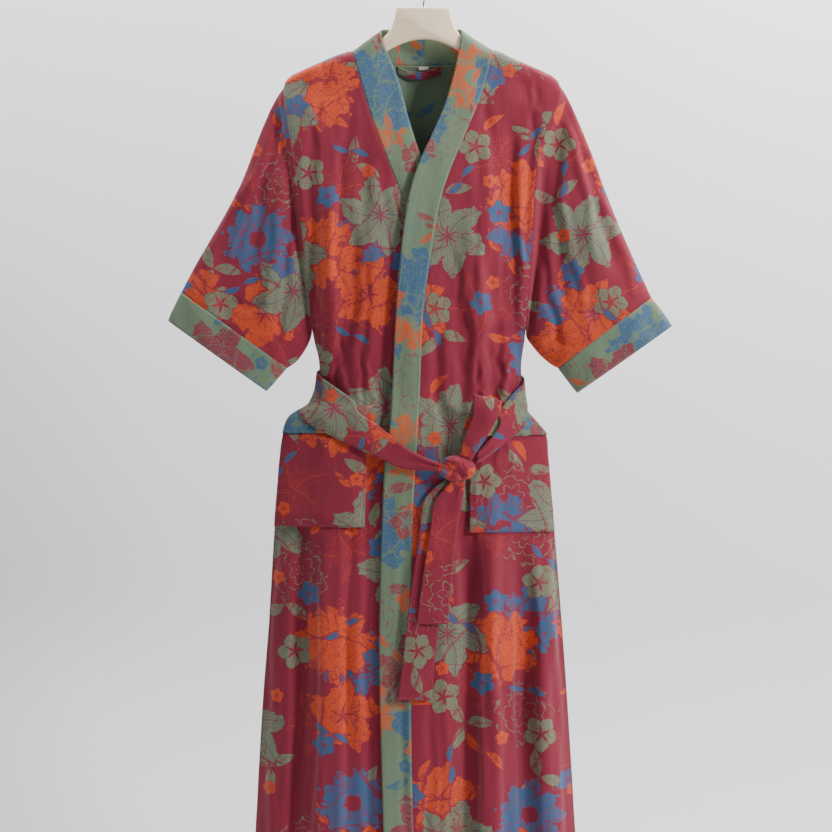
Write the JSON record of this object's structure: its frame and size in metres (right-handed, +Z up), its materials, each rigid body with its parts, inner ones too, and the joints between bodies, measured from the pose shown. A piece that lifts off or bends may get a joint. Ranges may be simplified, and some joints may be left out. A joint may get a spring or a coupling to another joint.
{
  "type": "kimono bathrobe on a wooden clothes hanger",
  "caption": "Half-sleeved wrap robe with a neck band, cuffs, patch pockets and a tied belt, hanging on a plain wooden hanger with a wire hook.",
  "frame": {"origin": "inside of the crest of the hanger's hook, where a rail carries it", "axes": "+Z up, -Y towards the front of the robe, +X towards the viewer's right"},
  "size_m": [0.7674, 0.1575, 1.3711],
  "materials": {
    "cloth": "burgundy jacquard cotton with large flowers",
    "cloth_reverse": "sage reverse side of the same cotton",
    "label_tape": "plain white woven tape",
    "beech": "pale beech, satin",
    "hook_wire": "bright wire"
  },
  "bodies": {
    "root": {"back": "cloth", "front_left": "cloth", "front_right": "cloth", "collar_left": "cloth_reverse", "collar_right": "cloth_reverse", "sleeve_left": "cloth", "sleeve_right": "cloth", "cuff_left": "cloth_reverse", "cuff_right": "cloth_reverse", "pocket_left": "cloth", "pocket_right": "cloth", "pocket_band_left": "cloth_reverse", "pocket_band_right": "cloth_reverse", "belt_waist": "cloth", "belt_knot": "cloth", "belt_loop": "cloth", "belt_tail_front": "cloth", "belt_tail_back": "cloth", "hanging_loop": "cloth", "label": "label_tape", "hanger_wood": "beech", "hanger_hook": "hook_wire"}
  },
  "joints": []
}
